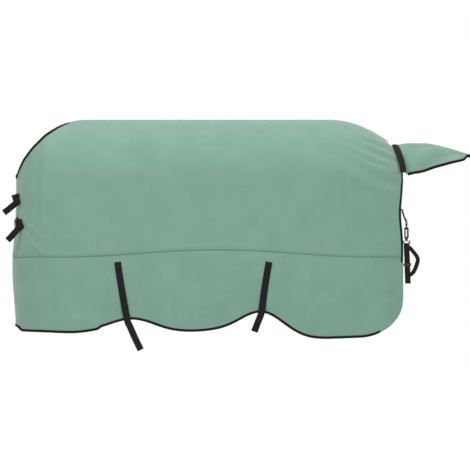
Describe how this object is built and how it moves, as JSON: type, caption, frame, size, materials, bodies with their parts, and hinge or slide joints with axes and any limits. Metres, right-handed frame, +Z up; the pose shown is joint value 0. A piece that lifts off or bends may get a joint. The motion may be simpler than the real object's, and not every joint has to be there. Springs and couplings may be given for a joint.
{
  "type": "turnout rug",
  "caption": "Fleece horse rug draped over the back, with an open chest closure, belly and hind leg straps and a tail flap.",
  "frame": {"origin": "on the underside of the back seam at the middle of the back, where the rug rests on the horse", "axes": "+X towards the tail, +Z up, the near (left) side at -Y"},
  "size_m": [2.087, 0.6118, 1.032],
  "materials": {
    "fleece": "soft pile fleece, sage green",
    "binding": "woven black binding tape",
    "webbing": "woven black polypropylene webbing",
    "steel": "nickel plated steel, lightly scuffed",
    "slider_plastic": "moulded black plastic"
  },
  "bodies": {
    "rug": {"near_side_panel": "fleece", "far_side_panel": "fleece", "near_skirt": "fleece", "far_skirt": "fleece", "spine_seam": "fleece", "near_neck_binding": "binding", "far_neck_binding": "binding", "near_hem_binding": "binding", "far_hem_binding": "binding", "near_rear_binding": "binding", "far_rear_binding": "binding", "dock_band": "binding", "near_leg_tab": "webbing", "far_leg_tab": "webbing"},
    "near_chest_flap": {"near_chest_panel": "fleece", "near_chest_skirt": "fleece", "near_chest_binding": "binding", "near_chest_neck_binding": "binding", "near_chest_hem_binding": "binding", "upper_strap_patch": "webbing", "lower_strap_patch": "webbing"},
    "far_chest_flap": {"far_chest_panel": "fleece", "far_chest_skirt": "fleece", "far_chest_binding": "binding", "far_chest_neck_binding": "binding", "far_chest_hem_binding": "binding", "upper_buckle_tab": "webbing", "lower_buckle_tab": "webbing", "upper_strap_keeper": "webbing", "lower_strap_keeper": "webbing"},
    "tail_flap": {"tail_flap": "fleece", "near_tail_binding": "binding", "far_tail_binding": "binding", "tail_tip_binding": "binding"},
    "upper_chest_strap": {"upper_chest_strap": "webbing"},
    "upper_chest_buckle": {"upper_chest_buckle": "steel"},
    "upper_chest_prong": {"upper_chest_prong": "steel"},
    "lower_chest_strap": {"lower_chest_strap": "webbing"},
    "lower_chest_buckle": {"lower_chest_buckle": "steel"},
    "lower_chest_prong": {"lower_chest_prong": "steel"},
    "front_belly_strap": {"front_belly_strap": "webbing"},
    "front_far_belly_strap": {"front_far_belly_strap": "webbing"},
    "front_belly_buckle": {"front_belly_buckle": "steel"},
    "front_belly_prong": {"front_belly_prong": "steel"},
    "rear_belly_strap": {"rear_belly_strap": "webbing"},
    "rear_far_belly_strap": {"rear_far_belly_strap": "webbing"},
    "rear_belly_buckle": {"rear_belly_buckle": "steel"},
    "rear_belly_prong": {"rear_belly_prong": "steel"},
    "near_leg_ring": {"near_leg_ring": "steel"},
    "near_snap_hook": {"near_snap_hook": "steel"},
    "near_hook_gate": {"near_hook_gate": "steel"},
    "near_swivel_eye": {"near_swivel_eye": "steel"},
    "near_leg_strap": {"near_leg_strap": "webbing"},
    "near_strap_slider": {"near_strap_slider": "slider_plastic"},
    "far_leg_ring": {"far_leg_ring": "steel"},
    "far_snap_hook": {"far_snap_hook": "steel"},
    "far_hook_gate": {"far_hook_gate": "steel"},
    "far_swivel_eye": {"far_swivel_eye": "steel"},
    "far_leg_strap": {"far_leg_strap": "webbing"},
    "far_strap_slider": {"far_strap_slider": "slider_plastic"}
  },
  "joints": [
    {"name": "near_flap_open", "type": "hinge", "parent": "rug", "child": "near_chest_flap", "pos_m": [-0.8, -0.2785, -0.5], "axis": [0, 0, 1], "range_deg": [0, 75]},
    {"name": "far_flap_open", "type": "hinge", "parent": "rug", "child": "far_chest_flap", "pos_m": [-0.8, 0.2785, -0.5], "axis": [0, 0, 1], "range_deg": [-60, 0]},
    {"name": "tail_flap_lift", "type": "hinge", "parent": "rug", "child": "tail_flap", "pos_m": [0.746, 0, -0.10252], "axis": [0, 1, 0], "range_deg": [-90, 14]},
    {"name": "upper_strap_swing", "type": "hinge", "parent": "near_chest_flap", "child": "upper_chest_strap", "pos_m": [-0.944, -0.13654, -0.35], "axis": [0.5547, 0, -0.8321], "range_deg": [-80, 20]},
    {"name": "upper_buckle_swing", "type": "hinge", "parent": "far_chest_flap", "child": "upper_chest_buckle", "pos_m": [-0.94619, 0.11105, -0.351], "axis": [0, 0, 1], "range_deg": [-60, 0]},
    {"name": "upper_prong_lift", "type": "hinge", "parent": "upper_chest_buckle", "child": "upper_chest_prong", "pos_m": [-0.94619, 0.11105, -0.351], "axis": [0, 0, 1], "range_deg": [-60, 0]},
    {"name": "lower_strap_swing", "type": "hinge", "parent": "near_chest_flap", "child": "lower_chest_strap", "pos_m": [-0.934, -0.16358, -0.458], "axis": [0.6585, 0, -0.7526], "range_deg": [-80, 20]},
    {"name": "lower_buckle_swing", "type": "hinge", "parent": "far_chest_flap", "child": "lower_chest_buckle", "pos_m": [-0.94973, 0.11241, -0.456], "axis": [0, 0, 1], "range_deg": [-60, 0]},
    {"name": "lower_prong_lift", "type": "hinge", "parent": "lower_chest_buckle", "child": "lower_chest_prong", "pos_m": [-0.94973, 0.11241, -0.456], "axis": [0, 0, 1], "range_deg": [-60, 0]},
    {"name": "front_near_strap_swing", "type": "hinge", "parent": "rug", "child": "front_belly_strap", "pos_m": [-0.4501, -0.30038, -0.62517], "axis": [1, 0, 0], "range_deg": [-80, 0]},
    {"name": "front_far_strap_swing", "type": "hinge", "parent": "rug", "child": "front_far_belly_strap", "pos_m": [-0.474, 0.30062, -0.6255], "axis": [1, 0, 0], "range_deg": [0, 80]},
    {"name": "front_belly_buckle_swing", "type": "hinge", "parent": "front_far_belly_strap", "child": "front_belly_buckle", "pos_m": [-0.474, 0.30492, -0.856], "axis": [-1, 0, 0], "range_deg": [-60, 0]},
    {"name": "front_belly_prong_lift", "type": "hinge", "parent": "front_belly_buckle", "child": "front_belly_prong", "pos_m": [-0.474, 0.30492, -0.856], "axis": [-1, 0, 0], "range_deg": [-60, 0]},
    {"name": "rear_near_strap_swing", "type": "hinge", "parent": "rug", "child": "rear_belly_strap", "pos_m": [0.1399, -0.30042, -0.62516], "axis": [1, 0, 0], "range_deg": [-80, 0]},
    {"name": "rear_far_strap_swing", "type": "hinge", "parent": "rug", "child": "rear_far_belly_strap", "pos_m": [0.15, 0.30062, -0.6255], "axis": [1, 0, 0], "range_deg": [0, 80]},
    {"name": "rear_belly_buckle_swing", "type": "hinge", "parent": "rear_far_belly_strap", "child": "rear_belly_buckle", "pos_m": [0.15, 0.30492, -0.8], "axis": [-1, 0, 0], "range_deg": [-60, 0]},
    {"name": "rear_belly_prong_lift", "type": "hinge", "parent": "rear_belly_buckle", "child": "rear_belly_prong", "pos_m": [0.15, 0.30492, -0.8], "axis": [-1, 0, 0], "range_deg": [-60, 0]},
    {"name": "near_ring_swing", "type": "hinge", "parent": "rug", "child": "near_leg_ring", "pos_m": [0.785, -0.21861, -0.462], "axis": [0, 1, 0], "range_deg": [-80, 0]},
    {"name": "near_hook_swing", "type": "hinge", "parent": "near_leg_ring", "child": "near_snap_hook", "pos_m": [0.785, -0.21861, -0.482], "axis": [0, 1, 0], "range_deg": [-60, 0]},
    {"name": "near_gate_open", "type": "hinge", "parent": "near_snap_hook", "child": "near_hook_gate", "pos_m": [0.7786, -0.21861, -0.5141], "axis": [0, 1, 0], "range_deg": [0, 18], "stiffness_Nm_per_rad": 0.02, "springref_deg": -20.05},
    {"name": "near_eye_swivel", "type": "hinge", "parent": "near_snap_hook", "child": "near_swivel_eye", "pos_m": [0.785, -0.21861, -0.548], "axis": [0, 0, 1], "range_deg": [-45, 45]},
    {"name": "near_leg_strap_swing", "type": "hinge", "parent": "near_swivel_eye", "child": "near_leg_strap", "pos_m": [0.785, -0.21861, -0.548], "axis": [1, 0, 0], "range_deg": [0, 60]},
    {"name": "near_slider_adjust", "type": "slide", "parent": "near_leg_strap", "child": "near_strap_slider", "axis": [-0.0389, 0, 0.9992], "range_m": [-0.012, 0.015]},
    {"name": "far_ring_swing", "type": "hinge", "parent": "rug", "child": "far_leg_ring", "pos_m": [0.785, 0.21861, -0.462], "axis": [0, 1, 0], "range_deg": [-80, 0]},
    {"name": "far_hook_swing", "type": "hinge", "parent": "far_leg_ring", "child": "far_snap_hook", "pos_m": [0.785, 0.21861, -0.482], "axis": [0, 1, 0], "range_deg": [-60, 0]},
    {"name": "far_gate_open", "type": "hinge", "parent": "far_snap_hook", "child": "far_hook_gate", "pos_m": [0.7786, 0.21861, -0.5141], "axis": [0, 1, 0], "range_deg": [0, 18], "stiffness_Nm_per_rad": 0.02, "springref_deg": -20.05},
    {"name": "far_eye_swivel", "type": "hinge", "parent": "far_snap_hook", "child": "far_swivel_eye", "pos_m": [0.785, 0.21861, -0.548], "axis": [0, 0, 1], "range_deg": [-45, 45]},
    {"name": "far_leg_strap_swing", "type": "hinge", "parent": "far_swivel_eye", "child": "far_leg_strap", "pos_m": [0.785, 0.21861, -0.548], "axis": [1, 0, 0], "range_deg": [-60, 0]},
    {"name": "far_slider_adjust", "type": "slide", "parent": "far_leg_strap", "child": "far_strap_slider", "axis": [-0.0389, 0, 0.9992], "range_m": [-0.012, 0.015]}
  ]
}
